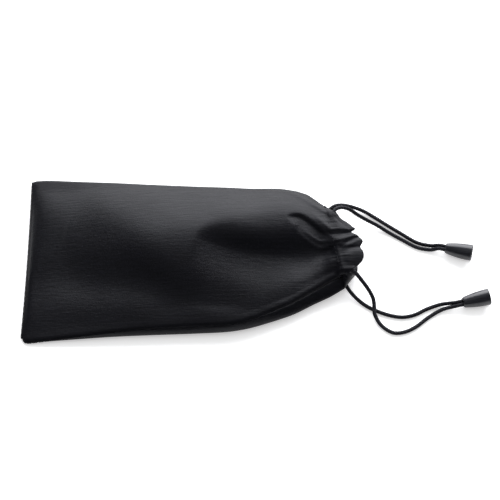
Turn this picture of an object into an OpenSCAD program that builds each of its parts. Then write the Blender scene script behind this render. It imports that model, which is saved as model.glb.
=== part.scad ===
// Soft drawstring pouch for a pair of glasses. It lies on its back panel, closed end
// at -X, with the mouth drawn in at +X by two cords that end in plastic bells.

/* [Pouch] */
// Length of the drawn-in pouch, bottom seam to lip
pouch_len = 174; // [160:1:190]
// Width of the cloth along the bottom seam
flat_w = 97.6; // [90:0.2:105]
// Height of the lying pouch at its crown
crown_h = 21; // [20:0.5:26]
// Thickness of the cloth with its seams pressed
cloth_t = 0.8; // [0.5:0.1:0.9]
// Width of the seam allowance inside
seam_w = 5; // [3:0.5:7]

/* [Mouth] */
// Angle of the drawn mouth line, near side forward
mouth_skew = 10; // [0:1:15]
// Distance from the cords in the hem to the lip
lip_out = 8.4; // [6:0.2:10]
// Distance from the cords in the hem to its stitched edge
hem_in = 5.4; // [4.6:0.2:6]
// Height of the cords in the front hem
front_hem_z = 13; // [12.8:0.1:14]
// Height of the cords in the back hem
back_hem_z = 4.9; // [4.4:0.1:5]

/* [Cords] */
// Diameter of each drawcord
cord_d = 1.9; // [1.6:0.1:2]
// Distance between the two cords side by side in a hem
cord_gap = 2.2; // [2.1:0.1:2.4]

/* [Bells] */
// Length of a cord bell
bell_len = 14; // [12:0.5:18]
// Outer diameter of a bell's wide end
bell_d = 8.5; // [8:0.1:10]
// Outer diameter of a bell's narrow end, past its rounded shoulder
bell_neck_d = 5.2; // [5:0.1:5.6]
// Wall thickness of a bell
bell_wall = 0.7; // [0.5:0.1:0.8]
// Diameter of the hole that the two cord ends enter
cord_hole_d = 4.2; // [4:0.1:4.3]

/* [Hidden] */

half_len = pouch_len / 2;
half_w = flat_w / 2;
// Unit vectors of the mouth line: towards the near side, and out of the mouth
near_dir = [sin(mouth_skew), -cos(mouth_skew), 0];
mouth_dir = [cos(mouth_skew), sin(mouth_skew), 0];
// Middle of the cord run in each hem
front_mid = [half_len - 10.7, 0, front_hem_z];
back_mid = [half_len - 12, 0, back_hem_z];
// Ends of the hems, measured along near_dir from their middles
near_end = 15.5;
front_far_end = -15;
back_far_end = -24.7;
neck_x = half_len - 15;

// The pouch's form from the bottom seam to the neck. Each row: the share of the way
// along, the half width and crown height as shares, the heights of the side seam and
// of the underside, the squareness of the section and the gap between the panels.
form = [
    [0.000, 1.000, 0.13, 1.6, 0.0, 2.4, 0.1],
    [0.016, 0.996, 0.22, 1.9, 0.0, 2.4, 0.1],
    [0.040, 0.984, 0.33, 2.6, 0.0, 2.4, 0.1],
    [0.090, 0.963, 0.48, 3.8, 0.0, 2.4, 0.1],
    [0.170, 0.943, 0.64, 5.0, 0.0, 2.4, 0.1],
    [0.260, 0.912, 0.79, 6.5, 0.0, 2.4, 0.1],
    [0.360, 0.881, 0.91, 8.0, 0.0, 2.4, 0.1],
    [0.480, 0.857, 0.98, 8.6, 0.0, 2.4, 0.1],
    [0.610, 0.836, 1.00, 9.0, 0.0, 2.4, 0.1],
    [0.720, 0.803, 0.99, 9.5, 0.0, 2.4, 0.1],
    [0.820, 0.748, 0.93, 9.6, 0.0, 2.5, 0.1],
    [0.890, 0.666, 0.87, 9.3, 0.3, 2.8, 0.1],
    [0.945, 0.564, 0.79, 9.1, 1.4, 3.4, 0.1],
    [0.980, 0.482, 0.70, 9.0, 3.2, 4.6, 1.4],
    [1.000, 0.451, 0.645, 9.0, 4.4, 6.0, 3.0]];
section_steps = 20;
last_row = len(form) - 1;
// Rows between which the side seams are sewn: past them the sides are slit
slit_row = last_row - 2;
// The underside is flat out to this share of the half width
flat_share = 0.55;

function row_x(i) = -half_len + form[i][0] * (neck_x + half_len);
function row_w(i) = half_w * form[i][1];
function row_lean(i) = tan(mouth_skew) * pow(max(0, form[i][0] - 0.6) / 0.4, 2);
function row_point(i, y, z) = [row_x(i) - row_lean(i) * y, y, z];

// Section of a panel at a row: side is 1 for the front and -1 for the back, and
// inset is 0 on the outside and the cloth's thickness on the inside.
function dome(v, power) = sqrt(max(0, 1 - pow(abs(v), power)));
function tray(v) = 1 - pow(max(0, abs(v) - flat_share) / (1 - flat_share), 2.4);
function panel_z(i, v, side, inset) =
    let (f = form[i], seam = f[3] + side * f[6] / 2)
    side > 0
        ? seam + (crown_h * f[2] - inset - seam) * dome(v, f[5])
        : seam - (seam - f[4] - inset) * tray(v);
function panel_line(i, side, inset) = [for (j = [0:section_steps])
    let (v = cos(180 * j / section_steps))
    row_point(i, (row_w(i) - inset) * v, panel_z(i, v, side, inset))];
function panel_ring(i, side) = concat(
    side > 0 ? panel_line(i, side, 0) : panel_line(i, side, cloth_t),
    reverse(side > 0 ? panel_line(i, side, cloth_t) : panel_line(i, side, 0)));

function reverse(list) = [for (k = [len(list) - 1:-1:0]) list[k]];
function unit(v) = v / norm(v);

// Joins equal rings of points into one closed solid. The end faces pair the first
// half of a ring with its second half, so a ring may be a thin folded strip.
module skin(rings) {
    size = len(rings[0]);
    count = len(rings);
    points = [for (ring = rings) each ring];
    sides = [for (i = [0:count - 2]) for (j = [0:size - 1])
        let (a = i * size + j, b = i * size + (j + 1) % size)
        each [[a, b, b + size], [a, b + size, a + size]]];
    start_cap = [for (j = [0:size / 2 - 2])
        let (a = j, b = j + 1, c = size - 2 - j, d = size - 1 - j)
        each [[a, c, b], [a, d, c]]];
    end_cap = [for (face = start_cap)
        [for (k = [2, 1, 0]) face[k] + (count - 1) * size]];
    polyhedron(points, [for (face = concat(sides, start_cap, end_cap))
        [face[2], face[1], face[0]]]);
}

// A cord swept along a route, with the side vector kept square to up
cord_sides = 8;
function tangent(route, i) =
    unit(route[min(i + 1, len(route) - 1)] - route[max(i - 1, 0)]);
function cord_ring(route, i, up) =
    let (t = tangent(route, i), side = unit(cross(t, up)), top = cross(side, t))
    [for (k = [0:cord_sides - 1]) let (a = 360 * k / cord_sides + 180 / cord_sides)
        route[i] + cord_d / 2 * (cos(a) * side + sin(a) * top)];
module cord(route, up = [0, 0, 1]) {
    color("#1c1c20") skin([for (i = [0:len(route) - 1]) cord_ring(route, i, up)]);
}

// A point in a hem: along the mouth line, out towards the lip, and up
function hem_point(mid, along, out = 0, rise = 0) =
    mid + along * near_dir + out * mouth_dir + [0, 0, rise];
near_offset = cord_gap / 2;
// Each cord's hidden straight run is longer than its travel
run_start = 7.7;
turn_start = 8;

// Bells lie on their sides: the place of the narrow end's middle and the yaw
bell_tilt = 4;
bell_rest_z = 3.37;
near_bell_at = [138, -31.8, bell_rest_z];
near_bell_yaw = 11;
far_bell_at = [131.7, 0.8, bell_rest_z];
far_bell_yaw = -16;
knot_along = 6.8;
knot_r = 2.3;
function bell_point(at, yaw, along, side) = at
    + along * [cos(yaw) * cos(bell_tilt), sin(yaw) * cos(bell_tilt), sin(bell_tilt)]
    + side * [-sin(yaw), cos(yaw), 0];
// The two strands in a bell lie beside its axis and just do not touch
strand_side = cord_d / 2 + 0.01;
// The strands are straight from here, before the bell, to inside their knot
entry_start = -3.5;
knot_overlap = 0.3;
function bell_entry(at, yaw, side) = [
    for (along = [entry_start, 0, knot_along - knot_r + knot_overlap])
        bell_point(at, yaw, along, side * strand_side)];

// Routes of the free strands, from the hem to the bell
near_front_route = concat(
    [hem_point(front_mid, -run_start, near_offset),
        hem_point(front_mid, near_end, near_offset)],
    [[83.3, -18, 11.8], [86.6, -21.4, 9.3], [89.6, -25, 6.8], [91.7, -28.8, 4.7],
        [92.2, -33, 3.3], [92.2, -37, 2.6], [95.2, -42.5, 1], [101, -47, 1],
        [107, -46.8, 1], [113, -44, 1], [119.5, -39, 1], [127, -34.7, 1.5]],
    bell_entry(near_bell_at, near_bell_yaw, -1));
near_back_route = concat(
    [hem_point(back_mid, -run_start, -near_offset),
        hem_point(back_mid, near_end, -near_offset)],
    [[77.9, -19.4, 4], [80.3, -23.5, 2.9], [84, -27.6, 1.6], [88.8, -31.6, 1],
        [95, -35, 1], [101, -37.3, 1], [107, -38.2, 1], [113, -37, 1],
        [119.5, -33.8, 1], [127, -31.6, 1.6]],
    bell_entry(near_bell_at, near_bell_yaw, 1));
far_front_route = concat(
    [hem_point(front_mid, run_start + 1, -near_offset),
        hem_point(front_mid, front_far_end, -near_offset)],
    [[73, 17.6, 13.6], [75, 20.4, 13.4], [78.5, 21.9, 12], [82.5, 21.8, 9.7],
        [86.5, 20, 7.3], [91, 18.3, 5], [97, 16, 2.5], [103, 12.2, 1.2],
        [109.5, 7.8, 1], [117, 3, 1], [124, 1.1, 1.5]],
    bell_entry(far_bell_at, far_bell_yaw, -1));
far_back_route = concat(
    [hem_point(back_mid, -2, near_offset),
        hem_point(back_mid, back_far_end, near_offset)],
    [[74.6, 26.8, 5.4], [78.5, 28, 4.4], [84, 27.6, 3], [90, 25.6, 1.8],
        [96, 21.8, 1], [102, 17.1, 1], [109, 11.8, 1], [117, 6, 1],
        [124, 3.6, 1.5]],
    bell_entry(far_bell_at, far_bell_yaw, 1));
// Routes of the turns, which stay in the hems and bridge the opposite slit
near_turn_route = [
    hem_point(front_mid, -turn_start, near_offset),
    hem_point(front_mid, front_far_end, near_offset),
    hem_point(front_mid, -17.3, near_offset, -1.5),
    hem_point(front_mid, -20.6, 0.8, -3.2),
    hem_point(front_mid, -24.4, 0, -4.6),
    hem_point(back_mid, -27.6, -0.8, 2.1),
    hem_point(back_mid, -27.2, -near_offset, 0.4),
    hem_point(back_mid, back_far_end, -near_offset),
    hem_point(back_mid, -turn_start, -near_offset)];
far_turn_route = [
    hem_point(front_mid, run_start + 1.3, -near_offset),
    hem_point(front_mid, near_end, -near_offset),
    hem_point(front_mid, 17.3, -near_offset, -0.8),
    hem_point(front_mid, 18.2, -0.6, -2.6),
    hem_point(front_mid, 18.3, 0.3, -4.8),
    hem_point(back_mid, 18, 1.6, 2),
    hem_point(back_mid, 17.1, 1.4, 0.5),
    hem_point(back_mid, near_end, near_offset),
    hem_point(back_mid, -1.7, near_offset)];

// Front panel: the domed cloth on top
module front_panel() {
    color("#26262b") skin([for (i = [0:last_row]) panel_ring(i, 1)]);
}

// Back panel: the cloth that the pouch lies on
module back_panel() {
    color("#202024") skin([for (i = [0:last_row]) panel_ring(i, -1)]);
}

// A hem is a flat folded tunnel of cloth that both cords run through
tunnel_half = 1.7;
edge_half = 0.7;
lip_half = 1.1;
hem_wall = 0.6;
function hem_outline(inset) = [
    [-hem_in + inset * 2.6, -edge_half + inset * 0.6],
    [-4.2 + inset * 0.8, -edge_half + inset * 0.6],
    [-2.6, -tunnel_half + inset], [2.6, -tunnel_half + inset],
    [lip_out - 1 - inset, -lip_half + inset], [lip_out - inset, -lip_half / 2 + inset / 2],
    [lip_out - inset, lip_half / 2 - inset / 2], [lip_out - 1 - inset, lip_half - inset],
    [2.6, tunnel_half - inset], [-2.6, tunnel_half - inset],
    [-4.2 + inset * 0.8, edge_half - inset * 0.6],
    [-hem_in + inset * 2.6, edge_half - inset * 0.6]];
// Turns a hem's outline, drawn out from the cords and up, to run along the mouth line
module along_hem(mid) {
    translate(mid) rotate([0, 0, mouth_skew]) rotate([90, 0, 0]) children();
}
// Slant of the lip's corners, where the slant starts and a box that cuts them
corner_slant = 35;
corner_out = 1.5;
corner_box = [20, 10, 20];
module hem(mid, far_end) {
    difference() {
        along_hem(mid) translate([0, 0, far_end])
            linear_extrude(near_end - far_end) difference() {
                polygon(hem_outline(0));
                polygon(hem_outline(hem_wall));
            }
        // The lip's corners slant back to the slits
        along_hem(mid) for (end = [[near_end, 1], [far_end, -1]])
            translate([corner_out, 0, end[0]]) rotate([0, end[1] * corner_slant, 0])
                translate([0, -corner_box[1] / 2, end[1] > 0 ? 0 : -corner_box[2]])
                    cube(corner_box);
    }
}
module front_hem() {
    color("#2a2a2f") hem(front_mid, front_far_end);
}
module back_hem() {
    color("#222226") hem(back_mid, back_far_end);
}

// Seam allowances: two layers of cloth turned inside along each sewn edge
seam_inset = 0.4;
seam_half = 0.5;
// The bottom allowance stops this far short of the side ones
bottom_gap = 1.2;
module side_seam(side) {
    color("#1a1a1d") skin([for (i = [1:slit_row]) let (
            y = side * (row_w(i) - seam_inset),
            inner = side * (row_w(i) - seam_inset - seam_w),
            z = form[i][3])
        side > 0
            ? [row_point(i, y, z + seam_half), row_point(i, inner, z + seam_half),
                row_point(i, inner, z - seam_half), row_point(i, y, z - seam_half)]
            : [row_point(i, inner, z + seam_half), row_point(i, y, z + seam_half),
                row_point(i, y, z - seam_half), row_point(i, inner, z - seam_half)]]);
}
module near_side_seam() {
    side_seam(-1);
}
module far_side_seam() {
    side_seam(1);
}
module bottom_seam() {
    color("#1a1a1d")
        translate([-half_len + seam_inset, -half_w + seam_w + bottom_gap, form[0][3] - seam_half])
            cube([seam_w, flat_w - 2 * (seam_w + bottom_gap), 2 * seam_half]);
}

// One machine stitch of thread, lying along +X
stitch_len = 2;
stitch_pitch = 2.8;
thread_d = 0.36;
// Stitches lie this far from the edge of an allowance, and this far from the cords
stitch_inset = 1.2;
hem_stitch_in = 4.8;
module stitch() {
    rotate([0, 90, 0]) cylinder(d = thread_d, h = stitch_len, center = true, $fn = 24);
}
module hem_stitching(mid, far_end, rise) {
    first = stitch_len + stitch_inset / 3;
    count = floor((near_end - far_end - 2 * stitch_len) / stitch_pitch);
    color("#35353b") for (k = [0:count])
        translate(hem_point(mid, far_end + first + k * stitch_pitch, -hem_stitch_in, rise))
            rotate([0, 0, mouth_skew - 90]) stitch();
}
module front_hem_stitching() {
    hem_stitching(front_mid, front_far_end, edge_half);
}
module back_hem_stitching() {
    hem_stitching(back_mid, back_far_end, -edge_half);
}
// Stitches along a side seam's allowance, three to each stretch of the form
module seam_stitching(side) {
    color("#35353b") for (i = [2:slit_row - 1]) let (
            inset = seam_inset + stitch_inset,
            from = row_point(i, side * (row_w(i) - inset), form[i][3] + seam_half),
            to = row_point(i + 1, side * (row_w(i + 1) - inset), form[i + 1][3] + seam_half),
            step = to - from,
            count = floor(norm(step) / stitch_pitch))
        for (k = [0:count - 1])
            translate(from + step * (k + 0.5) / count)
                rotate([0, -asin(step[2] / norm(step)), atan2(step[1], step[0])]) stitch();
}
module near_seam_stitching() {
    seam_stitching(-1);
}
module far_seam_stitching() {
    seam_stitching(1);
}
module bottom_seam_stitching() {
    count = floor((flat_w - 2 * (seam_w + bottom_gap) - 2 * stitch_inset) / stitch_pitch);
    color("#35353b") for (k = [0:count])
        translate([-half_len + seam_inset + stitch_inset, (k - count / 2) * stitch_pitch,
                form[0][3] + seam_half])
            rotate([0, 0, 90]) stitch();
}

// A bar tack of upright threads where each side slit begins
tack_threads = 5;
tack_d = 0.5;
tack_h = 2.6;
tack_step = [0.6, 0.42];
tack_out = 0.05;
module slit_tack(side) {
    w = row_w(slit_row);
    color("#35353b") for (k = [0:tack_threads - 1])
        translate(row_point(slit_row, side * (w + tack_out), form[slit_row][3])
                - k * [tack_step[0], -side * tack_step[1], 0])
            cylinder(d = tack_d, h = tack_h, center = true, $fn = 24);
}
module near_slit_tack() {
    slit_tack(-1);
}
module far_slit_tack() {
    slit_tack(1);
}

module near_cord_turn() {
    cord(near_turn_route, [1, 0, 0]);
}
module far_cord_turn() {
    cord(far_turn_route, [1, 0, 0]);
}
module near_front_strand() {
    cord(near_front_route);
}
module near_back_strand() {
    cord(near_back_route);
}
module far_front_strand() {
    cord(far_front_route);
}
module far_back_strand() {
    cord(far_back_route);
}

// Puts a bell's own frame, narrow end at 0 and axis along +Z, where the bell lies
module at_bell(at, yaw) {
    translate(at) rotate([0, 90 - bell_tilt, yaw]) children();
}
// Knot that joins a cord's two ends: a ball in a coil of cord
module knot(at, yaw) {
    coil_r = cord_d / 2.5;
    color("#1c1c20") at_bell(at, yaw) translate([0, 0, knot_along]) {
        sphere(r = knot_r - knot_overlap, $fn = 48);
        rotate_extrude($fn = 48) translate([knot_r - coil_r, 0]) circle(r = coil_r, $fn = 24);
    }
}
module near_knot() {
    knot(near_bell_at, near_bell_yaw);
}
module far_knot() {
    knot(far_bell_at, far_bell_yaw);
}

// Bell: a hollow cone with a rounded shoulder and a notch in its rim
shoulder_h = 0.3;
hole_len = 1.8;
rim_round = 0.25;
// Shares of the length at which the bell's curved side has a point
bell_shares = [0.03, 0.12, 0.24, 0.38, 0.54, 0.72, 0.9, 0.98];
notch_w = 2.4;
notch_deep = 2.1;
// How far round the notch lies from straight down, towards the near side
notch_turn = 55;
swell_power = 1.7;
hole_chamfer = 0.4;
// A bell's side swells quickly from the neck and runs out nearly straight to the rim
function bell_r(along) =
    (bell_d - (bell_d - bell_neck_d) * pow(1 - along / bell_len, swell_power)) / 2;
module bell(at, yaw) {
    color("#2e2e33") at_bell(at, yaw) difference() {
        rotate_extrude($fn = 64) polygon(concat(
            [[cord_hole_d / 2, 0], [bell_r(0) - shoulder_h, 0]],
            [for (a = [30:30:60]) [bell_r(0) - shoulder_h * (1 - sin(a)),
                shoulder_h * (1 - cos(a))]],
            [for (share = bell_shares) [bell_r(share * bell_len), share * bell_len]],
            [[bell_r(bell_len) - rim_round, bell_len],
                [bell_r(bell_len) - bell_wall, bell_len]],
            [for (share = reverse(bell_shares)) if (share * bell_len > hole_len)
                [bell_r(share * bell_len) - bell_wall, share * bell_len]],
            [[bell_r(hole_len) - bell_wall, hole_len],
                [cord_hole_d / 2, hole_len - hole_chamfer]]));
        rotate([0, 0, -notch_turn]) translate([bell_d / 4, -notch_w / 2, bell_len - notch_deep])
            cube([bell_d / 2, notch_w, 2 * notch_deep]);
    }
}
module near_bell() {
    bell(near_bell_at, near_bell_yaw);
}
module far_bell() {
    bell(far_bell_at, far_bell_yaw);
}

// Plug: a shallow cup pressed into the bell's wide end below the rim
plug_top = bell_len - 1.2;
plug_h = 2.4;
plug_wall = 0.7;
plug_bevel = 0.3;
// The plug's face dips in the middle, and its floor is this thick in the middle
plug_dip = 0.4;
plug_floor = 1.2;
plug_flat_r = 1.2;
plug_fit = 0.05;
plug_r = bell_r(plug_top - plug_h) - bell_wall - plug_fit;
module bell_plug(at, yaw) {
    color("#1e1e22") at_bell(at, yaw) translate([0, 0, plug_top - plug_h])
        rotate_extrude($fn = 64) polygon([[0, plug_h - plug_dip], [plug_flat_r, plug_h],
            [plug_r - plug_bevel, plug_h], [plug_r, plug_h - plug_bevel], [plug_r, 0],
            [plug_r - plug_wall, 0], [plug_r - plug_wall, plug_h - plug_floor],
            [0, plug_h - plug_floor]]);
}
module near_bell_plug() {
    bell_plug(near_bell_at, near_bell_yaw);
}
module far_bell_plug() {
    bell_plug(far_bell_at, far_bell_yaw);
}

front_panel();
back_panel();
front_hem();
back_hem();
near_side_seam();
far_side_seam();
bottom_seam();
front_hem_stitching();
back_hem_stitching();
near_seam_stitching();
far_seam_stitching();
bottom_seam_stitching();
near_slit_tack();
far_slit_tack();
near_cord_turn();
far_cord_turn();
near_front_strand();
near_back_strand();
far_front_strand();
far_back_strand();
near_knot();
far_knot();
near_bell();
far_bell();
near_bell_plug();
far_bell_plug();
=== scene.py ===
"""A soft drawstring pouch for glasses, lying on its back panel with its mouth drawn in.

Lengths are in millimetres while a piece is worked out, and its mesh is made in metres.
+X runs from the bottom seam to the mouth, -Y is the near side and +Z is up.
"""
import math

import bpy
import numpy as np
from mathutils import Matrix, Vector


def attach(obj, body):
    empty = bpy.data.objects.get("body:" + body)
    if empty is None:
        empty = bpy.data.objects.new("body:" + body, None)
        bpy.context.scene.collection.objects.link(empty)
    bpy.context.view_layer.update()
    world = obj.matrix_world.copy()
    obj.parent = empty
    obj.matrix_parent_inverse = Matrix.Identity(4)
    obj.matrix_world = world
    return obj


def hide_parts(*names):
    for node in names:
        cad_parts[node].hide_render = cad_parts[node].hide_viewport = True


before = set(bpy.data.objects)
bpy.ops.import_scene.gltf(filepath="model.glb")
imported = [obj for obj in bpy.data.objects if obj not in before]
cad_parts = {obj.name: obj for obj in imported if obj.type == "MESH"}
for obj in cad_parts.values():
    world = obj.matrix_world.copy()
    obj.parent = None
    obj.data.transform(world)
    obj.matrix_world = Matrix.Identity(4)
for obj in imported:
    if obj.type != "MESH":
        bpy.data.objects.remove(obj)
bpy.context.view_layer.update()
MM = 0.001

# The view: a long lens, well above the pouch and square to its length
VIEW_TARGET = (29.2, 4.3, 0.0)
VIEW_AZIMUTH = -1.5
VIEW_ELEVATION = 60.0
VIEW_DISTANCE = 900.0
LENS = 123.1

# The mouth line and the hems' cords, as in the CAD model
MOUTH_SKEW = math.radians(10)
NEAR_DIR = np.array([math.sin(MOUTH_SKEW), -math.cos(MOUTH_SKEW), 0.0])
MOUTH_DIR = np.array([math.cos(MOUTH_SKEW), math.sin(MOUTH_SKEW), 0.0])
FRONT_MID = np.array([76.3, 0.0, 13.0])
BACK_MID = np.array([75.0, 0.0, 4.9])
NEAR_END = 15.5
FRONT_FAR_END = -15.0
BACK_FAR_END = -24.7
CORD_D = 1.9
SIDE = 1.1

# Bells, placed as in the CAD model: middle of the narrow end, yaw and tilt
BELL_TILT = math.radians(4)
BELLS = {
    "near": (np.array([138.0, -31.8, 3.37]), math.radians(11)),
    "far": (np.array([131.7, 0.8, 3.37]), math.radians(-16)),
}
BELL_LEN = 14.0
BELL_D = 8.5
BELL_NECK_D = 5.2
# The side is a little fuller behind the neck than in the CAD model, whose power is 1.7
BELL_SWELL = 2.1
BELL_WALL = 0.7
CORD_HOLE_D = 4.2


# ---------------------------------------------------------------- numbers and meshes
def smooth(low, high, value):
    """0 below low, 1 above high, and a smooth rise between."""
    t = np.clip((np.asarray(value, float) - low) / (high - low), 0.0, 1.0)
    return t * t * (3.0 - 2.0 * t)


def through(rows, x):
    """Smooth values at x through rows whose first column is the place."""
    rows = np.array(rows, float)
    at, values = rows[:, 0], rows[:, 1:]
    slopes = np.empty_like(values)
    slopes[1:-1] = (values[2:] - values[:-2]) / (at[2:] - at[:-2])[:, None]
    slopes[0] = (values[1] - values[0]) / (at[1] - at[0])
    slopes[-1] = (values[-1] - values[-2]) / (at[-1] - at[-2])
    x = np.clip(np.atleast_1d(x), at[0], at[-1])
    k = np.clip(np.searchsorted(at, x) - 1, 0, len(at) - 2)
    gap = (at[k + 1] - at[k])[:, None]
    t = ((x - at[k]) / gap[:, 0])[:, None]
    return (
        (2 * t**3 - 3 * t**2 + 1) * values[k]
        + (t**3 - 2 * t**2 + t) * gap * slopes[k]
        + (-2 * t**3 + 3 * t**2) * values[k + 1]
        + (t**3 - t**2) * gap * slopes[k + 1]
    )


def along(points, count):
    """count points evenly spaced on a smooth curve through the given points."""
    points = np.array(points, float)
    place = np.concatenate([[0], np.cumsum(np.linalg.norm(np.diff(points, axis=0), axis=1))])
    fine = through(np.column_stack([place, points]), np.linspace(0, place[-1], 2000))
    run = np.concatenate([[0], np.cumsum(np.linalg.norm(np.diff(fine, axis=0), axis=1))])
    even = np.linspace(0, run[-1], count)
    return np.column_stack([np.interp(even, run, fine[:, axis]) for axis in range(3)])


def make_piece(name, points, faces, body, material):
    """A smooth-shaded mesh piece from points in millimetres, riding on a body."""
    mesh = bpy.data.meshes.new(name)
    mesh.from_pydata([tuple(p) for p in np.asarray(points) * MM], [], faces)
    mesh.validate()
    mesh.update()
    mesh.polygons.foreach_set("use_smooth", [True] * len(mesh.polygons))
    piece = bpy.data.objects.new(name, mesh)
    bpy.context.scene.collection.objects.link(piece)
    mesh.materials.append(material)
    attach(piece, body)
    return piece


def grid_faces(rows, columns, wrap=False):
    """Quads over a grid of points, joined round each row if wrap is true."""
    span = columns if wrap else columns - 1
    return [
        (
            i * columns + j,
            i * columns + (j + 1) % columns,
            (i + 1) * columns + (j + 1) % columns,
            (i + 1) * columns + j,
        )
        for i in range(rows - 1)
        for j in range(span)
    ]


# ---------------------------------------------------------------- camera
def make_camera():
    target = Vector(VIEW_TARGET) * MM
    azimuth = math.radians(VIEW_AZIMUTH)
    elevation = math.radians(VIEW_ELEVATION)
    back = Vector((
        math.sin(azimuth) * math.cos(elevation),
        -math.cos(azimuth) * math.cos(elevation),
        math.sin(elevation),
    ))
    camera = bpy.data.objects.new("camera", bpy.data.cameras.new("camera"))
    bpy.context.scene.collection.objects.link(camera)
    camera.location = target + back * VIEW_DISTANCE * MM
    camera.rotation_euler = back.to_track_quat("Z", "Y").to_euler()
    camera.data.lens = LENS
    camera.data.sensor_width = 36.0
    camera.data.clip_start = 0.01
    bpy.context.scene.camera = camera


# ---------------------------------------------------------------- materials
def new_material(name, **sockets):
    """A Principled material with fixed values on the shader's own sockets."""
    material = bpy.data.materials.new(name)
    material.use_nodes = True
    shader = material.node_tree.nodes["Principled BSDF"]
    for socket, value in sockets.items():
        shader.inputs[socket.replace("_", " ")].default_value = value
    return material, material.node_tree, shader


def mapped_noise(tree, scale, stretch, detail=3.0, roughness=0.55):
    """Noise in the object's own space, stretched by a factor on each axis."""
    place = tree.nodes.new("ShaderNodeTexCoord")
    mapping = tree.nodes.new("ShaderNodeMapping")
    mapping.inputs["Scale"].default_value = stretch
    texture = tree.nodes.new("ShaderNodeTexNoise")
    texture.inputs["Scale"].default_value = scale
    texture.inputs["Detail"].default_value = detail
    texture.inputs["Roughness"].default_value = roughness
    tree.links.new(place.outputs["Object"], mapping.inputs["Vector"])
    tree.links.new(mapping.outputs["Vector"], texture.inputs["Vector"])
    return texture.outputs["Fac"]


def ramp(tree, value, stops):
    """A colour ramp with stops of (place, colour)."""
    node = tree.nodes.new("ShaderNodeValToRGB")
    while len(node.color_ramp.elements) < len(stops):
        node.color_ramp.elements.new(0.5)
    for element, (place, colour) in zip(node.color_ramp.elements, stops):
        element.position = place
        element.color = colour
    tree.links.new(value, node.inputs["Fac"])
    return node.outputs["Color"]


def map_range(tree, value, low, high):
    """The value carried from 0-1 to low-high."""
    node = tree.nodes.new("ShaderNodeMapRange")
    node.inputs["To Min"].default_value = low
    node.inputs["To Max"].default_value = high
    tree.links.new(value, node.inputs["Value"])
    return node.outputs["Result"]


def bump(tree, height, strength, distance, under=None):
    """A bump of a real depth in metres, over another one if given."""
    node = tree.nodes.new("ShaderNodeBump")
    node.inputs["Strength"].default_value = strength
    node.inputs["Distance"].default_value = distance
    tree.links.new(height, node.inputs["Height"])
    if under is not None:
        tree.links.new(under, node.inputs["Normal"])
    return node.outputs["Normal"]


def grey(level, blue=1.4):
    return (level, level, level * blue, 1.0)


def cloth_material(name, dark, light, spec):
    """Satin cloth: long slubs along X, a fine cross weave and a soft sheen."""
    material, tree, shader = new_material(
        name, Specular_IOR_Level=spec, Specular_Tint=(0.96, 0.96, 1.0, 1.0))
    slub = mapped_noise(tree, 800.0, (0.09, 1.0, 1.0), 4.0, 0.6)
    fine = mapped_noise(tree, 1900.0, (0.16, 1.0, 1.0), 2.0)
    weave = mapped_noise(tree, 2200.0, (1.0, 0.35, 0.35), 2.0)
    tree.links.new(
        ramp(tree, slub, [(0.3, grey(dark)), (0.72, grey(light))]),
        shader.inputs["Base Color"])
    tree.links.new(map_range(tree, slub, 0.50, 0.38), shader.inputs["Roughness"])
    low = bump(tree, slub, 0.8, 0.00015)
    mid = bump(tree, fine, 0.8, 0.00008, low)
    tree.links.new(bump(tree, weave, 0.8, 0.00006, mid), shader.inputs["Normal"])
    return material


def cord_material():
    material, tree, shader = new_material(
        "braided_cord_black", Specular_IOR_Level=0.14)
    fibre = mapped_noise(tree, 2600.0, (1.0, 1.0, 1.0), 3.0)
    tree.links.new(
        ramp(tree, fibre, [(0.3, grey(0.006)), (0.75, grey(0.022))]),
        shader.inputs["Base Color"])
    tree.links.new(map_range(tree, fibre, 0.6, 0.42), shader.inputs["Roughness"])
    tree.links.new(bump(tree, fibre, 0.4, 0.0001), shader.inputs["Normal"])
    return material


def thread_material():
    material, tree, shader = new_material(
        "sewing_thread_black", Specular_IOR_Level=0.15)
    twist = mapped_noise(tree, 5000.0, (1.0, 1.0, 1.0), 2.0)
    tree.links.new(
        ramp(tree, twist, [(0.3, grey(0.005)), (0.7, grey(0.012))]),
        shader.inputs["Base Color"])
    tree.links.new(map_range(tree, twist, 0.55, 0.4), shader.inputs["Roughness"])
    tree.links.new(bump(tree, twist, 0.5, 0.00006), shader.inputs["Normal"])
    return material


def plastic_material(name, level, rough_low, rough_high):
    """Moulded plastic: a faint mould grain and handling marks."""
    material, tree, shader = new_material(name, Specular_IOR_Level=0.5)
    grain = mapped_noise(tree, 1800.0, (1.0, 1.0, 1.0), 3.0)
    marks = mapped_noise(tree, 240.0, (1.0, 1.0, 1.0), 5.0, 0.7)
    tree.links.new(
        ramp(tree, marks, [(0.3, grey(level)), (0.8, grey(level * 1.5))]),
        shader.inputs["Base Color"])
    tree.links.new(map_range(tree, marks, rough_low, rough_high), shader.inputs["Roughness"])
    tree.links.new(bump(tree, grain, 0.25, 0.00004), shader.inputs["Normal"])
    return material


# ---------------------------------------------------------------- cords
def hem_point(mid, run, out=0.0, rise=0.0):
    """A point in a hem: along the mouth line, out towards the lip, and up."""
    return mid + run * NEAR_DIR + out * MOUTH_DIR + np.array([0.0, 0.0, rise])


def bell_point(which, run, side):
    """A point in a bell's own frame: along its axis and across it."""
    at, yaw = BELLS[which]
    axis = np.array([
        math.cos(yaw) * math.cos(BELL_TILT),
        math.sin(yaw) * math.cos(BELL_TILT),
        math.sin(BELL_TILT),
    ])
    return at + run * axis + side * np.array([-math.sin(yaw), math.cos(yaw), 0.0])


# In a bell the two strands run straight to the knot and just do not touch
ENTRY_SIDE = 0.96
ENTRY_RUNS = (-3.5, 0.0, 4.8)


def bell_entry(which, side):
    return [bell_point(which, run, side * ENTRY_SIDE) for run in ENTRY_RUNS]


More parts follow.
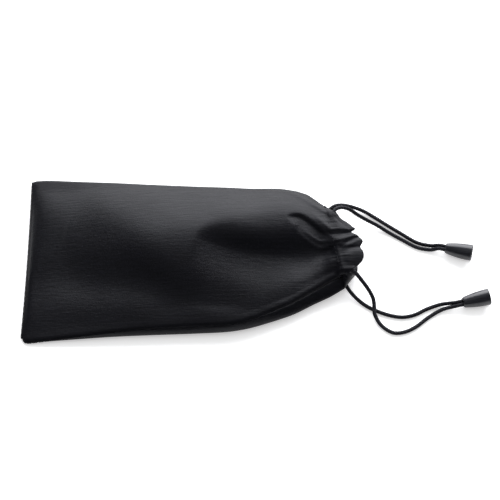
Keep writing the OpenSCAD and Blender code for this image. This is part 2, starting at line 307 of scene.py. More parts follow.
# Each strand: its hidden start and exit in the hem, then the route of the CAD model
STRANDS = {
    "near_front_strand": (
        "near", -1,
        (hem_point(FRONT_MID, -7.7, SIDE), hem_point(FRONT_MID, NEAR_END, SIDE)),
        [(83.3, -18, 11.8), (86.6, -21.4, 9.3), (89.6, -25, 6.8), (91.7, -28.8, 4.7),
         (92.2, -33, 3.3), (92.2, -37, 2.6), (95.2, -42.5, 1), (101, -47, 1),
         (107, -46.8, 1), (113, -44, 1), (119.5, -39, 1), (127, -34.7, 1.5)],
    ),
    "near_back_strand": (
        "near", 1,
        (hem_point(BACK_MID, -7.7, -SIDE), hem_point(BACK_MID, NEAR_END, -SIDE)),
        [(77.9, -19.4, 4), (80.3, -23.5, 2.9), (84, -27.6, 1.6), (88.8, -31.6, 1),
         (95, -35, 1), (101, -37.3, 1), (107, -38.2, 1), (113, -37, 1),
         (119.5, -33.8, 1), (127, -31.6, 1.6)],
    ),
    "far_front_strand": (
        "far", -1,
        (hem_point(FRONT_MID, 8.7, -SIDE), hem_point(FRONT_MID, FRONT_FAR_END, -SIDE)),
        [(73, 17.6, 13.6), (75, 20.4, 13.4), (78.5, 21.9, 12), (82.5, 21.8, 9.7),
         (86.5, 20, 7.3), (91, 18.3, 5), (97, 16, 2.5), (103, 12.2, 1.2),
         (109.5, 7.8, 1), (117, 3, 1), (124, 1.1, 1.5)],
    ),
    "far_back_strand": (
        "far", 1,
        (hem_point(BACK_MID, -2.0, SIDE), hem_point(BACK_MID, BACK_FAR_END, SIDE)),
        [(74.6, 26.8, 5.4), (78.5, 28, 4.4), (84, 27.6, 3), (90, 25.6, 1.8),
         (96, 21.8, 1), (102, 17.1, 1), (109, 11.8, 1), (117, 6, 1),
         (124, 3.6, 1.5)],
    ),
}
# Each cord's hidden turn round the opposite slit. The near cord's is shorter than in the
# CAD model, so that it stays inside the cloth.
TURNS = {
    "near_cord_turn": [
        hem_point(FRONT_MID, -8.0, SIDE), hem_point(FRONT_MID, -11.5, SIDE),
        hem_point(FRONT_MID, -14.5, SIDE, -1.0), hem_point(FRONT_MID, -17.0, 0.4, -3.4),
        hem_point(FRONT_MID, -19.4, -0.8, -5.6), hem_point(BACK_MID, -21.4, -0.9, 1.4),
        hem_point(BACK_MID, -21.0, -SIDE, 0.3), hem_point(BACK_MID, -19.0, -SIDE),
        hem_point(BACK_MID, -8.0, -SIDE)],
    "far_cord_turn": [
        hem_point(FRONT_MID, 9.0, -SIDE), hem_point(FRONT_MID, NEAR_END, -SIDE),
        hem_point(FRONT_MID, 17.3, -SIDE, -0.8), hem_point(FRONT_MID, 18.2, -0.6, -2.6),
        hem_point(FRONT_MID, 18.3, 0.3, -4.8), hem_point(BACK_MID, 18.0, 1.6, 2.0),
        hem_point(BACK_MID, 17.1, 1.4, 0.5), hem_point(BACK_MID, NEAR_END, SIDE),
        hem_point(BACK_MID, -1.7, SIDE)],
}
BRAID_SIDES = 32
BRAID_STEP = 0.22
BRAID_PITCH = 7.0
BRAID_STARTS = 4
# Share of the cord's radius between the strands, and what a strand adds on top
BRAID_LOW = 0.96
BRAID_RISE = 0.12
# Share of the hidden straight run where the smooth curve starts
LEAD_SHARE = 0.12


def braided_tube(path):
    """A cord of crossing strands: its radius swells where a strand passes on top."""
    tangent = np.gradient(path, axis=0)
    tangent /= np.linalg.norm(tangent, axis=1)[:, None]
    side = np.cross(tangent[0], [0.0, 0.0, 1.0])
    if np.linalg.norm(side) < 0.2:
        side = np.array([1.0, 0.0, 0.0])
    angle = np.arange(BRAID_SIDES) * 2 * math.pi / BRAID_SIDES
    points = []
    run = 0.0
    for i, centre in enumerate(path):
        side = side - tangent[i] * np.dot(side, tangent[i])
        side /= np.linalg.norm(side)
        top = np.cross(tangent[i], side)
        turn = 2 * math.pi * run / BRAID_PITCH
        left = np.cos(BRAID_STARTS * (angle + turn))
        right = np.cos(BRAID_STARTS * (angle - turn))
        radius = CORD_D / 2 * (BRAID_LOW + BRAID_RISE * np.maximum(left, right))
        points.extend(
            centre + radius[:, None] * (
                np.cos(angle)[:, None] * side + np.sin(angle)[:, None] * top))
        if i + 1 < len(path):
            run += np.linalg.norm(path[i + 1] - centre)
    faces = grid_faces(len(path), BRAID_SIDES, wrap=True)
    faces.append(tuple(reversed(range(BRAID_SIDES))))
    faces.append(tuple(range((len(path) - 1) * BRAID_SIDES, len(path) * BRAID_SIDES)))
    return points, faces


def cord_path(points):
    """Evenly spaced points of a cord: straight through its first two, then smooth."""
    straight = np.array(points[:2])
    rest = [straight[1] - (straight[1] - straight[0]) * LEAD_SHARE, *points[1:]]
    curve = along(rest, 600)
    length = np.linalg.norm(np.diff(curve, axis=0), axis=1).sum()
    curve = along(curve, max(12, int(length / BRAID_STEP)))
    lead_length = np.linalg.norm(curve[0] - straight[0])
    steps = np.linspace(0, 1, max(2, int(lead_length / BRAID_STEP)))[:-1, None]
    lead = straight[0] + steps * (curve[0] - straight[0])
    return np.vstack([lead, curve])


def make_cords(material):
    for name, (which, side, run, route) in STRANDS.items():
        path = cord_path([*run, *[np.array(p, float) for p in route],
                          *bell_entry(which, side)])
        points, faces = braided_tube(path)
        piece = make_piece("cord_" + name, points, faces, f"{which}_drawcord",
                           material)
        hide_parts(name)
    for name, points in TURNS.items():
        path = along(points, 220)
        tube, faces = braided_tube(path)
        piece = make_piece("cord_" + name, tube, faces, "pouch", material)
        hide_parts(name)


# ---------------------------------------------------------------- bells
def bell_radius(run):
    return (BELL_D - (BELL_D - BELL_NECK_D) * (1 - run / BELL_LEN) ** BELL_SWELL) / 2


NOTCH_WIDTH = 2.4
NOTCH_HALF = math.asin(NOTCH_WIDTH / 2 / (BELL_D / 2))
NOTCH_DEEP = 2.1
# How far round the notch lies from straight down, towards the near side
NOTCH_TURN = math.radians(55)
RIM_R = 0.35
PARTING_RISE = 0.05
PARTING_WIDTH = 0.02


def make_bell(which, material):
    """A hollow bell: rounded neck, swelling side, soft rim, notch and parting lines."""
    outer = [(run, bell_radius(run)) for run in np.linspace(0.45, BELL_LEN - RIM_R, 40)]
    neck = [(0.3 * (1 - math.cos(a)), bell_radius(0) - 0.42 * (1 - math.sin(a)))
            for a in np.linspace(0, math.pi / 2 - 0.1, 6)]
    rim = [(BELL_LEN - RIM_R * (1 - math.sin(a)), BELL_D / 2 - RIM_R * (1 - math.cos(a)))
           for a in np.linspace(0.1, math.pi, 12)]
    inner = [(run, bell_radius(run) - BELL_WALL)
             for run in np.linspace(BELL_LEN - RIM_R, 1.8, 24)]
    throat = [(1.4, CORD_HOLE_D / 2 + 0.05), (0.5, CORD_HOLE_D / 2),
              (0.05, CORD_HOLE_D / 2 + 0.02)]
    profile = [*neck, *outer, *rim, *inner, *throat]
    plain = np.linspace(-math.pi, math.pi, 97)[:-1]
    edges = [NOTCH_HALF - 0.02, NOTCH_HALF + 0.02, -NOTCH_HALF + 0.02, -NOTCH_HALF - 0.02]
    parting = [s * math.pi / 2 + d for s in (-1, 1) for d in (-0.03, -0.012, 0.012, 0.03)]
    angles = np.array(sorted({*plain.tolist(), *edges, *parting}))
    at, yaw = BELLS[which]
    turn = (Matrix.Translation(at) @ Matrix.Rotation(yaw, 4, "Z")
            @ Matrix.Rotation(-BELL_TILT, 4, "Y"))
    points = []
    for run, radius in profile:
        for a in angles:
            # The angle is counted from the notch's middle
            round_axis = a - NOTCH_TURN
            ridge = max(math.exp(-((abs(a) - math.pi / 2) / PARTING_WIDTH) ** 2) - 0.1, 0)
            grow = PARTING_RISE * ridge if radius > bell_radius(run) - 0.4 else 0.0
            cut = abs(a) < NOTCH_HALF and run > BELL_LEN - NOTCH_DEEP
            x = BELL_LEN - NOTCH_DEEP if cut else run
            reach = min(radius, bell_radius(x)) if cut else radius
            reach += grow
            points.append(turn @ Vector(
                (x, reach * math.sin(round_axis), -reach * math.cos(round_axis))))
    points = [tuple(p) for p in points]
    closed = grid_faces(len(profile), len(angles), wrap=True)
    last = (len(profile) - 1) * len(angles)
    closed += [(last + j, last + (j + 1) % len(angles), (j + 1) % len(angles), j)
               for j in range(len(angles))]
    piece = make_piece(f"{which}_cord_bell", points, closed, f"{which}_bell_body",
                       material)
    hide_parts(f"{which}_bell")
    return piece


# ---------------------------------------------------------------- the cloth's form
# Stations from the bottom seam to the lip: place along the middle line, near edge, far
# edge, heights of the near and far edges, height of the crown, where the crown is, and
# fullness (under 1 the section is flat with steep sides, over 1 it is peaked).
FORM = [
    (-87, -45.6, 48.6, 1.4, 1.4, 3.0, 0, 0.7),
    (-85.8, -47.6, 49.0, 1.6, 1.6, 4.5, 2, 0.8),
    (-83.4, -48.2, 49.0, 2.0, 2.0, 5.9, 4, 0.9),
    (-78, -48.0, 48.6, 2.7, 2.7, 7.5, 8, 1.0),
    (-70, -47.6, 47.4, 3.6, 3.6, 9.2, 12, 1.1),
    (-58, -46.9, 45.9, 4.8, 4.8, 11.6, 13, 1.15),
    (-42, -45.9, 44.0, 6.2, 6.2, 15.0, 10, 1.1),
    (-22, -45.0, 41.6, 7.4, 7.4, 18.6, 4, 1.0),
    (0, -44.5, 39.6, 8.0, 8.0, 20.0, 4, 1.0),
    (18, -44.2, 38.2, 8.4, 8.4, 19.8, 9, 1.0),
    (31, -41.0, 36.9, 8.8, 8.8, 19.2, 12, 1.0),
    (47, -33.3, 36.0, 8.3, 9.4, 18.0, 14, 0.9),
    (58, -26.0, 34.2, 8.3, 9.6, 16.3, 13, 0.85),
    (62, -23.6, 33.0, 8.5, 9.6, 15.5, 11, 0.8),
    (66, -21.2, 31.2, 8.9, 9.6, 15.0, 8, 0.8),
    (73, -18.2, 24.2, 10.3, 9.8, 15.0, 3, 0.7),
    (77, -18.0, 17.0, 11.4, 12.6, 15.5, 0, 0.65),
    (82, -18.0, 12.0, 11.4, 13.4, 15.4, 0, 0.7),
    (87, -18.0, 8.5, 11.4, 13.4, 15.2, 0, 0.7)]
# The back panel in the same way: place, near edge, far edge, height of the side seam,
# height of the underside, and how far the side wall swells past the seam
BACK_FORM = [
    (-87, -45.6, 48.6, 1.4, 0.35, 0.0),
    (-85.8, -47.6, 49.0, 1.5, 0.35, 0.1),
    (-83.4, -48.2, 49.0, 1.9, 0.35, 0.2),
    (-78, -48.0, 48.6, 2.6, 0.35, 0.3),
    (-58, -46.9, 45.9, 4.7, 0.35, 0.8),
    (-42, -45.9, 44.0, 6.1, 0.35, 1.3),
    (-22, -45.0, 41.6, 7.3, 0.35, 2.0),
    (0, -44.5, 39.6, 7.9, 0.35, 2.3),
    (18, -44.2, 38.2, 8.3, 0.35, 2.0),
    (31, -41.0, 36.9, 8.7, 0.35, 2.8),
    (47, -33.3, 35.9, 8.2, 0.5, 4.8),
    (58, -26.0, 34.0, 8.2, 1.0, 5.8),
    (62, -23.6, 32.8, 8.4, 1.4, 6.2),
    (66, -21.3, 31.0, 8.8, 2.0, 6.6),
    (73, -18.3, 24.2, 10.1, 3.2, 6.0),
    (77, -18.7, 24.0, 10.9, 3.4, 4.4),
    (80, -18.8, 23.8, 10.4, 3.6, 3.0),
    (83, -18.4, 23.4, 8.0, 3.8, 1.6),
    (87, -17.6, 23.6, 6.0, 4.0, 1.2)]
# The lips seen from above: places of the edge along X at each Y
FRONT_LIP = [
    (-18.6, 79.0), (-17.8, 79.7), (-16.5, 81.1), (-13.9, 84.4), (-11, 86.9), (-7.1, 87.1),
    (-3.5, 85.8), (-0.5, 87.2), (2.6, 85.4), (4.4, 83.2), (6.0, 81.8), (7.2, 83.4), (8.2, 84.0)]
BACK_LIP = [
    (-18.8, 80.9), (-15, 83.6), (-9, 84.6), (-4, 83.4), (1, 84.4), (7, 82.6), (11, 80.8),
    (16, 79.4), (21, 76.2), (24.8, 73.4)]
# Folds of the front panel. Each is a path of (x, y, depth, width on the far side,
# width on the near side); a negative depth is a ridge.
FOLDS = {
    "dent": [
        (0.5, 0.8, 0, 4, 12), (4, -0.4, 1.4, 6, 14), (8.5, -1.8, 2.9, 7.4, 17),
        (14.5, -3.6, 3.9, 8.0, 20), (25, -6, 4.5, 8.2, 20), (42, -7.6, 4.7, 9.2, 18.5),
        (50, -7.2, 4.7, 9.8, 15.5), (58, -6.4, 4.3, 10.0, 11.5), (66, -5.0, 3.3, 9.0, 7),
        (71, -4.6, 2.1, 5.0, 4.5), (76, -5.2, 0.9, 2.0, 3), (81, -4.2, 0.6, 1.2, 2),
        (87, -3.6, 0.5, 1, 1.6)],
    "near_shelf": [
        (-84, -8, 0, 12, 12), (-74, -12, 1.3, 17, 14), (-61, -14, 2.4, 18, 15),
        (-42, -19, 2.6, 14, 13), (-24, -22, 2.9, 12, 12), (-10, -28, 2.2, 11, 10),
        (5, -31.5, 1.4, 11, 6), (20, -33.5, 0.8, 10, 5), (34, -35, 0, 8, 5)],
    "curl_pocket": [
        (49, 12.5, 0, 1.5, 3), (52, 14, 0.9, 1.5, 4.5), (56, 13.6, 1.4, 1.8, 6.0),
        (60, 10.8, 1.6, 2.0, 6.0), (65, 6.4, 1.3, 1.9, 4.4), (69.5, 3.2, 0.7, 1.6, 2.6),
        (72, 3, 0, 1.3, 1.6)],
    "curl_lip": [
        (51, 9.5, 0, 1.0, 1.2), (53.3, 6.8, -0.12, 1.0, 1.2), (57.5, 2.6, -0.22, 1.0, 1.3),
        (64.3, -1.6, -0.32, 1.1, 1.3), (69, -1.8, -0.4, 1.3, 1.4), (74, 0.2, -0.5, 1.6, 1.6),
        (80, 1.8, -0.5, 1.6, 1.4), (85, 3.4, -0.4, 1.3, 1.2)],
    "second_lip": [
        (56, 8.5, 0, 0.8, 1), (60, 5.0, -0.15, 0.8, 1), (64.5, 1.9, -0.2, 0.9, 1.0),
        (68, 1.2, -0.22, 0.9, 1.0), (72, 2.4, -0.15, 1.1, 1.1), (76, 2.4, 0, 1, 1)],
    "middle_crease": [
        (74.5, -4.0, 0, 0.9, 0.9), (76.5, -3.2, 0.3, 0.9, 0.9), (79.5, -0.7, 0.4, 1, 1),
        (84, 1.7, 0.45, 1, 1), (87, 2.8, 0.45, 1, 1)],
    "middle_strip": [
        (78, -4.6, 0, 0.9, 0.9), (80.5, -3.0, -0.2, 0.9, 0.9), (84, -0.6, -0.25, 1, 1),
        (87, 0.2, -0.25, 1, 1)],
    "far_notch": [
        (67, 10.2, 0, 1.2, 1.2), (70.8, 4.8, 0.5, 1.3, 1.4), (76.5, 4.0, 0.6, 1.3, 1.6),
        (81, 5.0, 0.8, 1.2, 1.5), (84, 5.8, 0.8, 1.2, 1.4)],
    "far_ridge": [
        (61, 18, 0, 1.2, 1.2), (67, 12, -0.3, 1.5, 1.5), (70.6, 7.6, -0.4, 1.6, 1.6),
        (76.5, 7.4, -0.4, 2.0, 1.5), (80.4, 6.8, -0.3, 1.4, 1.3)],
    "far_edge_fold": [
        (43, 34, 0, 1.5, 1.5), (52, 31, -0.4, 1.5, 1.8), (59.4, 26.5, -0.4, 1.5, 1.8),
        (68, 19.5, -0.5, 1.5, 1.5), (74, 15, 0, 1.5, 1.5)],
    "near_lobe": [
        (62, -12, 0, 4, 4), (70, -11, -0.2, 4, 4), (78, -9.5, -0.3, 4, 4),
        (86, -9, -0.3, 4, 4)],
    "lower_valley": [
        (48, -26, 0, 2, 2), (54, -23.6, 0.15, 2.2, 2), (65.4, -18.4, 0.3, 1.8, 1.4),
        (73.8, -15.2, 0.5, 1.3, 1.1), (78, -14.7, 0.5, 1.2, 1.0), (82, -14.4, 0.4, 1.1, 1.0)],
    "near_seam_ridge": [
        (26, -39.5, 0, 1.5, 1.5), (40, -34.5, -0.05, 1.2, 1.2), (60.4, -24.8, -0.12, 1.0, 1.0),
        (70, -19.4, -0.15, 0.9, 1.0), (78, -17.0, -0.2, 0.9, 1), (83, -16.8, -0.2, 0.9, 1)],
}
# The bottom seam and the hem's stitches, along the middle line
BOTTOM_X = -87.0
STITCH_X = 73.0
# Lean of a line across the hem, in X per Y
HEM_LEAN = 0.176
# The panel's edge rolls down over this height and this share of its half width
EDGE_ROLL = 1.0
EDGE_SHARE = 0.04
# The closed end rolls out this far and comes down to this height
END_ROLL = 0.6
END_HEIGHT = 1.2
# Share across a panel in which the folds fade out at its edges
FOLD_FADE = 0.10
# The hem lies this high over its cords, and falls by the eases behind and before them
OVER_CORDS = 14.15
HEM_EASE = 6.0
LIP_EASE = 1.0
# Behind the hem the cords set no least height, so it falls well below the panel
NO_CORDS_DROP = 20.0
# The hem wraps the cords at its edges: where that starts and how sharply it curves
NEAR_WRAP_Y = -15.8
NEAR_WRAP_CURVE = 0.33
FAR_WRAP_Y = 17.5
FAR_WRAP_CURVE = 0.10
# A small lift beside the far slit
SLIT_LIFT = 0.5
SLIT_LIFT_AT = (73.0, 16.5)
# How softly the panel passes into the stretch over the cords
HEM_SOFTNESS = 0.4
# The far wall of the back panel swells less than the near one
FAR_SWELL = 0.35


def slant(middle_x):
    """How far a cross line leans with the drawn mouth, in X per Y."""
    return math.tan(MOUTH_SKEW) * smooth(35, 74, middle_x)


def fold_depth(x, y, path):
    """Depth of one fold at each point: a bell across its path, uneven on its two sides."""
    path = np.array(path, float)
    curve = through(np.column_stack([np.arange(len(path)), path]),
                    np.linspace(0, len(path) - 1, 24 * (len(path) - 1)))
    tangent = np.gradient(curve[:, :2], axis=0)
    tangent /= np.linalg.norm(tangent, axis=1)[:, None]
    dx = x[:, None] - curve[None, :, 0]
    dy = y[:, None] - curve[None, :, 1]
    nearest = np.argmin(dx * dx + dy * dy, axis=1)
    rows = np.arange(len(x))
    dx, dy = dx[rows, nearest], dy[rows, nearest]
    across = tangent[nearest, 0] * dy - tangent[nearest, 1] * dx
    beyond = np.abs(tangent[nearest, 0] * dx + tangent[nearest, 1] * dy)
    width = np.where(across > 0, curve[nearest, 3], curve[nearest, 4])
    return curve[nearest, 2] * np.exp(-(across / width) ** 2 - (beyond / width) ** 2)


def undulation(x, y):
    """Small soft waves of slack cloth, made of a few crossing sine waves."""
    waves = [(0.071, 0.045, 0.3, 0.22), (-0.043, 0.121, 1.9, 0.18), (0.131, 0.083, 4.1, 0.10),
             (0.023, -0.197, 2.7, 0.10), (0.211, 0.157, 0.9, 0.05)]
    return sum(size * np.sin(kx * x + ky * y + phase) for kx, ky, phase, size in waves)


def puckers(x, y):
    """Fine gathers on both sides of the hem's stitches."""
    near_stitch = np.exp(-((x + HEM_LEAN * y - STITCH_X) / 5.0) ** 2)
    wide = 0.08 * np.sin(y * 2.1 + 0.6 * np.sin(y * 0.7))
    fine = 0.05 * np.sin(y * 3.7 + 1)
    return near_stitch * (wide + fine)


def end_slant(x, y):
    """The bottom seam runs a little askew: its near corner stands out, its far one does not."""
    return (0.9 - 2.3 * ((49.0 - y) / 97.0) ** 2) * (1 - smooth(BOTTOM_X, -35, x))


def hem_clearance(x, y, middle_x):
    """Least height of the front panel: it rises over the cords and wraps them at its edges."""
    from_cords = middle_x - FRONT_MID[0]
    fall = HEM_EASE * smooth(2.0, 11.0, -from_cords) + LIP_EASE * smooth(2.2, 6.0, from_cords)
    fall = fall + NO_CORDS_DROP * smooth(10.0, 20.0, -from_cords)
    near_wrap = NEAR_WRAP_CURVE * np.clip(NEAR_WRAP_Y - y, 0, None) ** 2
    far_wrap = FAR_WRAP_CURVE * np.clip(y - FAR_WRAP_Y, 0, None) ** 2
    lift_x, lift_y = SLIT_LIFT_AT
    lift = SLIT_LIFT * np.exp(-((x - lift_x) / 2.5) ** 2 - ((y - lift_y) / 3.0) ** 2)
    return OVER_CORDS + lift - fall - near_wrap - far_wrap


def front_height(x, y, middle_x, v):
    """Height of the front panel's top: its dome, the folds in it and small waves."""
    _, _, near_z, far_z, crown, _, fullness = through(FORM, middle_x).T
    seam = near_z + (far_z - near_z) * smooth(-0.3, 0.3, v)
    dome = np.clip(np.cos(math.pi / 2 * np.abs(v)), 0, 1) ** fullness
    past_edge = np.clip(np.abs(v) - (1 - EDGE_SHARE), 0, None) / EDGE_SHARE
    roll = np.sqrt(np.clip(1 - past_edge ** 2, 0, 1))
    z = seam - EDGE_ROLL / 2 + EDGE_ROLL * roll + (crown - seam - EDGE_ROLL / 2) * dome
    inside = smooth(0, 0.25, 1 - np.abs(v)) * smooth(BOTTOM_X, -80, middle_x)
    change = sum(-fold_depth(x, y, path) for path in FOLDS.values())
    z = z + change * smooth(0, FOLD_FADE, 1 - np.abs(v))
    z = z + (undulation(x, y) + puckers(x, y)) * inside
    over_cords = hem_clearance(x, y, middle_x)
    return 0.5 * (z + over_cords + np.sqrt((z - over_cords) ** 2 + HEM_SOFTNESS))


def front_surface(middle_x, v):
    """Points of the front panel's top for stations and shares across (-1 near, 1 far)."""
    near, far, _, _, _, crest, _ = through(FORM, middle_x).T
    y = crest + np.where(v > 0, v * (far - crest), v * (crest - near))
    x = middle_x - slant(middle_x) * y
    return x + end_slant(x, y), y, front_height(x, y, middle_x, v)


def rolled(count):
    """Shares from -1 to 1, closer together towards the edges."""
    return np.sin(np.linspace(-math.pi / 2, math.pi / 2, count))


def end_rows(first):
    """Rows that roll the closed end of a panel round to the height of the bottom seam."""
    rolled_rows = []
    for angle in np.linspace(0, math.pi / 2, 6)[:-1]:
        row = first.copy()
        row[:, 0] -= END_ROLL * math.cos(angle)
        row[:, 2] = END_HEIGHT + (first[:, 2] - END_HEIGHT) * math.sin(angle)
        rolled_rows.append(row)
    return rolled_rows


# The lips' middles and half widths along Y
LIP_MIDDLE = -5.2
LIP_HALF = 13.4
BACK_LIP_MIDDLE = 2.9
BACK_LIP_HALF = 21.7
# A lip turns over into the hem's inner layer: how far out and how far down or up
LIP_TURNS = (0.35, 0.75, 1.0)
LIP_ROLL_OUT = 0.35
LIP_ROLL_DROP = 0.45
# The inner layer is a little narrower than the outer one and stays this far from it
INNER_WIDTH = 0.97
LAYER_GAP = 0.9
# The hem bows in on its far side by this much
HEM_BOW = 1.6
# Share of the back panel that lies flat, and share of each wall beside it
FLAT_SHARE = 0.7
WALL_SHARE = 0.3
# The far end of the back hem comes down towards this height, by this share
FAR_END_Z = 4.2
FAR_END_SHARE = 0.62
COLUMNS = 181
BODY_ROWS = 190
HEM_ROWS = 34
UNDER_ROWS = 14


def lip_x(lip, y):
    return through([(a, b) for a, b in lip], y)[:, 0]


def lip_roll(edge, way):
    """Rows that turn a lip over into its inner layer: way is -1 for down, 1 for up."""
    return [
        edge + np.array([
            LIP_ROLL_OUT * math.sin(share * math.pi), 0.0,
            way * LIP_ROLL_DROP * (1 - math.cos(share * math.pi))])
        for share in LIP_TURNS
    ]


def make_front(material):
    """Front panel and hem in one cloth: dome, hem over the cords, lip and inner layer."""
    v = rolled(COLUMNS)
    stations = BOTTOM_X + (STITCH_X - BOTTOM_X) * np.linspace(0, 1, BODY_ROWS)
    rows = [np.column_stack(front_surface(np.full(COLUMNS, middle_x), v))
            for middle_x in stations]
    rows = end_rows(rows[0]) + rows
    base_x, base_y = rows[-1][:, 0].copy(), rows[-1][:, 1].copy()
    lip_y = LIP_MIDDLE + v * LIP_HALF
    end_x = lip_x(FRONT_LIP, lip_y)
    for t in np.linspace(0, 1, HEM_ROWS)[1:]:
        bow = -HEM_BOW * math.sin(math.pi * t) * np.clip(v, 0, 1) ** 3
        y = base_y + (lip_y - base_y) * t + bow
        x = base_x + (end_x - base_x) * t
        middle = x + math.tan(MOUTH_SKEW) * y
        z = front_height(x, y, middle, v)
        rows.append(np.column_stack([x, y, z]))
    edge = rows[-1]
    rows += lip_roll(edge, -1)
    for t in np.linspace(1, 0, UNDER_ROWS)[1:]:
        y = base_y * INNER_WIDTH + (lip_y - base_y * INNER_WIDTH) * t
        x = base_x + (end_x - base_x) * t
        low = 11.75 + 1.0 * smooth(2.2, 8.0, np.abs(x + HEM_LEAN * y - FRONT_MID[0]))
        z = np.minimum(low, edge[:, 2] - LAYER_GAP)
        rows.append(np.column_stack([x, y, z]))
    finish_cloth("front_cloth", rows, material, ("front_panel", "front_hem"), True)


def back_section(middle_x, v):
    """Points of the back panel: down the near wall, along the underside and up again."""
    near, far, seam, under, swell = through(BACK_FORM, middle_x).T
    half = (far - near) / 2
    centre = (far + near) / 2
    wall = np.minimum(7.0, half * 0.4)
    flat = np.abs(v) < FLAT_SHARE
    t = np.clip((np.abs(v) - FLAT_SHARE) / WALL_SHARE, 0, 1)
    rise = seam - under
    ends = ((1 - t) ** 3, 3 * t * (1 - t) ** 2, 3 * t * t * (1 - t), t ** 3)
    swell = np.where(v > 0, swell * FAR_SWELL, swell)
    curve_y = (ends[0] * (half - wall) + (ends[1] + ends[2]) * (half + 1.33 * swell)
               + ends[3] * half)
    curve_z = ends[2] * rise * 0.55 + ends[3] * rise
    y = centre + np.sign(v) * np.where(flat, np.abs(v) / FLAT_SHARE * (half - wall), curve_y)
    x = middle_x - slant(middle_x) * y
    gathers = smooth(40, 76, middle_x) * (1 - smooth(0.6, 0.9, np.abs(v)))
    z = under + curve_z
    z = z + gathers * 0.7 * (0.5 + 0.5 * np.sin(y * 0.95 + 0.5 * np.sin(y * 0.31)))
    z = z + puckers(x, y) * 0.8 * smooth(60, 70, middle_x)
    return x + end_slant(x, y), y, z


def make_back(material):
    """Back panel and hem in one cloth, flat where it lies on the floor."""
    v = np.linspace(-1, 1, COLUMNS)
    stations = BOTTOM_X + (STITCH_X - BOTTOM_X) * np.linspace(0, 1, BODY_ROWS)
    rows = [np.column_stack(back_section(np.full(COLUMNS, middle_x), v))
            for middle_x in stations]
    rows = end_rows(rows[0]) + rows
    base = rows[-1].copy()
    lip_y = BACK_LIP_MIDDLE + v * BACK_LIP_HALF
    end_x = lip_x(BACK_LIP, lip_y)
    for t in np.linspace(0, 1, HEM_ROWS)[1:]:
        y = base[:, 1] + (lip_y - base[:, 1]) * t
        x = base[:, 0] + (end_x - base[:, 0]) * t
        z = back_section(x + HEM_LEAN * y, v)[2]
        cap = 3.6 + 0.7 * smooth(2.2, 7.0, np.abs(x + HEM_LEAN * y - BACK_MID[0]))
        z = np.where(np.abs(v) < FLAT_SHARE, np.minimum(z, cap + 0.3), z)
        lowered = FAR_END_SHARE * smooth(0.0, 0.45, t) * smooth(0.6, 0.8, v)
        z = z + (FAR_END_Z - z) * lowered
        rows.append(np.column_stack([x, y, z]))
    edge = rows[-1]
    rows += lip_roll(edge, 1)
    for t in np.linspace(1, 0, UNDER_ROWS)[1:]:
        y = base[:, 1] * INNER_WIDTH + (lip_y - base[:, 1] * INNER_WIDTH) * t
        x = base[:, 0] + (end_x - base[:, 0]) * t
        high = 6.1 - 1.0 * smooth(2.2, 8.0, np.abs(x + HEM_LEAN * y - BACK_MID[0]))
        z = np.maximum(high, edge[:, 2] + LAYER_GAP)
        rows.append(np.column_stack([x, y, z]))
    finish_cloth("back_cloth", rows, material, ("back_panel", "back_hem"), False)


CLOTH_T = 0.32


def tubes(lines, radius, sides=8):
    """Round-ended tubes of one radius along several lines, in one mesh."""
    points, faces = [], []
    angle = np.arange(sides) * 2 * math.pi / sides
    for line in lines:
        line = np.asarray(line, float)
        tangent = np.gradient(line, axis=0)
        tangent /= np.linalg.norm(tangent, axis=1)[:, None]
        run = np.concatenate([[0], np.cumsum(np.linalg.norm(np.diff(line, axis=0), axis=1))])
        from_end = np.minimum(run, run[-1] - run)
        ends = np.sqrt(np.clip(1 - (1 - np.clip(from_end / radius, 0.08, 1)) ** 2, 0, 1))
        first = len(points)
        for centre, direction, share in zip(line, tangent, ends):
            side = np.cross(direction, [0.0, 0.0, 1.0])
            if np.linalg.norm(side) < 0.3:
                side = np.cross(direction, [1.0, 0.0, 0.0])
            side /= np.linalg.norm(side)
            top = np.cross(side, direction)
            points.extend(centre + radius * share * (
                np.cos(angle)[:, None] * side + np.sin(angle)[:, None] * top))
        faces += [tuple(first + k for k in face)
                  for face in grid_faces(len(line), sides, wrap=True)]
        last = first + (len(line) - 1) * sides
        faces.append(tuple(reversed(range(first, first + sides))))
        faces.append(tuple(range(last, last + sides)))
    return points, faces


STITCH_LENGTH = 2.3
STITCH_GAP = 0.8
THREAD_R = 0.15


def stitches_along(line, sink=0.1):
    """Short arched lengths of thread, one after another along a line of points."""
    run = np.concatenate([[0], np.cumsum(np.linalg.norm(np.diff(line, axis=0), axis=1))])
    starts = np.arange(0.6, run[-1] - STITCH_LENGTH, STITCH_LENGTH + STITCH_GAP)
    lines = []
    for start in starts:
        at = start + STITCH_LENGTH * np.linspace(0, 1, 9)
        arc = np.column_stack([np.interp(at, run, line[:, axis]) for axis in range(3)])
        arc[:, 2] += THREAD_R * 1.2 * np.sin(np.linspace(0, math.pi, 9)) - sink
        lines.append(arc)
    return lines


def thread_piece(name, lines, thread, node):
    """One mesh of thread in place of a CAD node."""
    points, faces = tubes(lines, THREAD_R)
    piece = make_piece(name, points, faces, "pouch", thread)
    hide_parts(node)


def welt_piece(name, line, radius, cloth, node):
    """A thin welt of cloth in place of a CAD seam."""
    points, faces = tubes([line], radius, 10)
    piece = make_piece(name, points, faces, "pouch", cloth)
    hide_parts(node)


# The edges of the front panel: -1 is the near share across and 1 the far one
EDGES = (("near", -1.0), ("far", 1.0))
HEM_STITCH_X = STITCH_X - 0.6
# A small thread end on the front hem
THREAD_END = (74.2, -11.8)


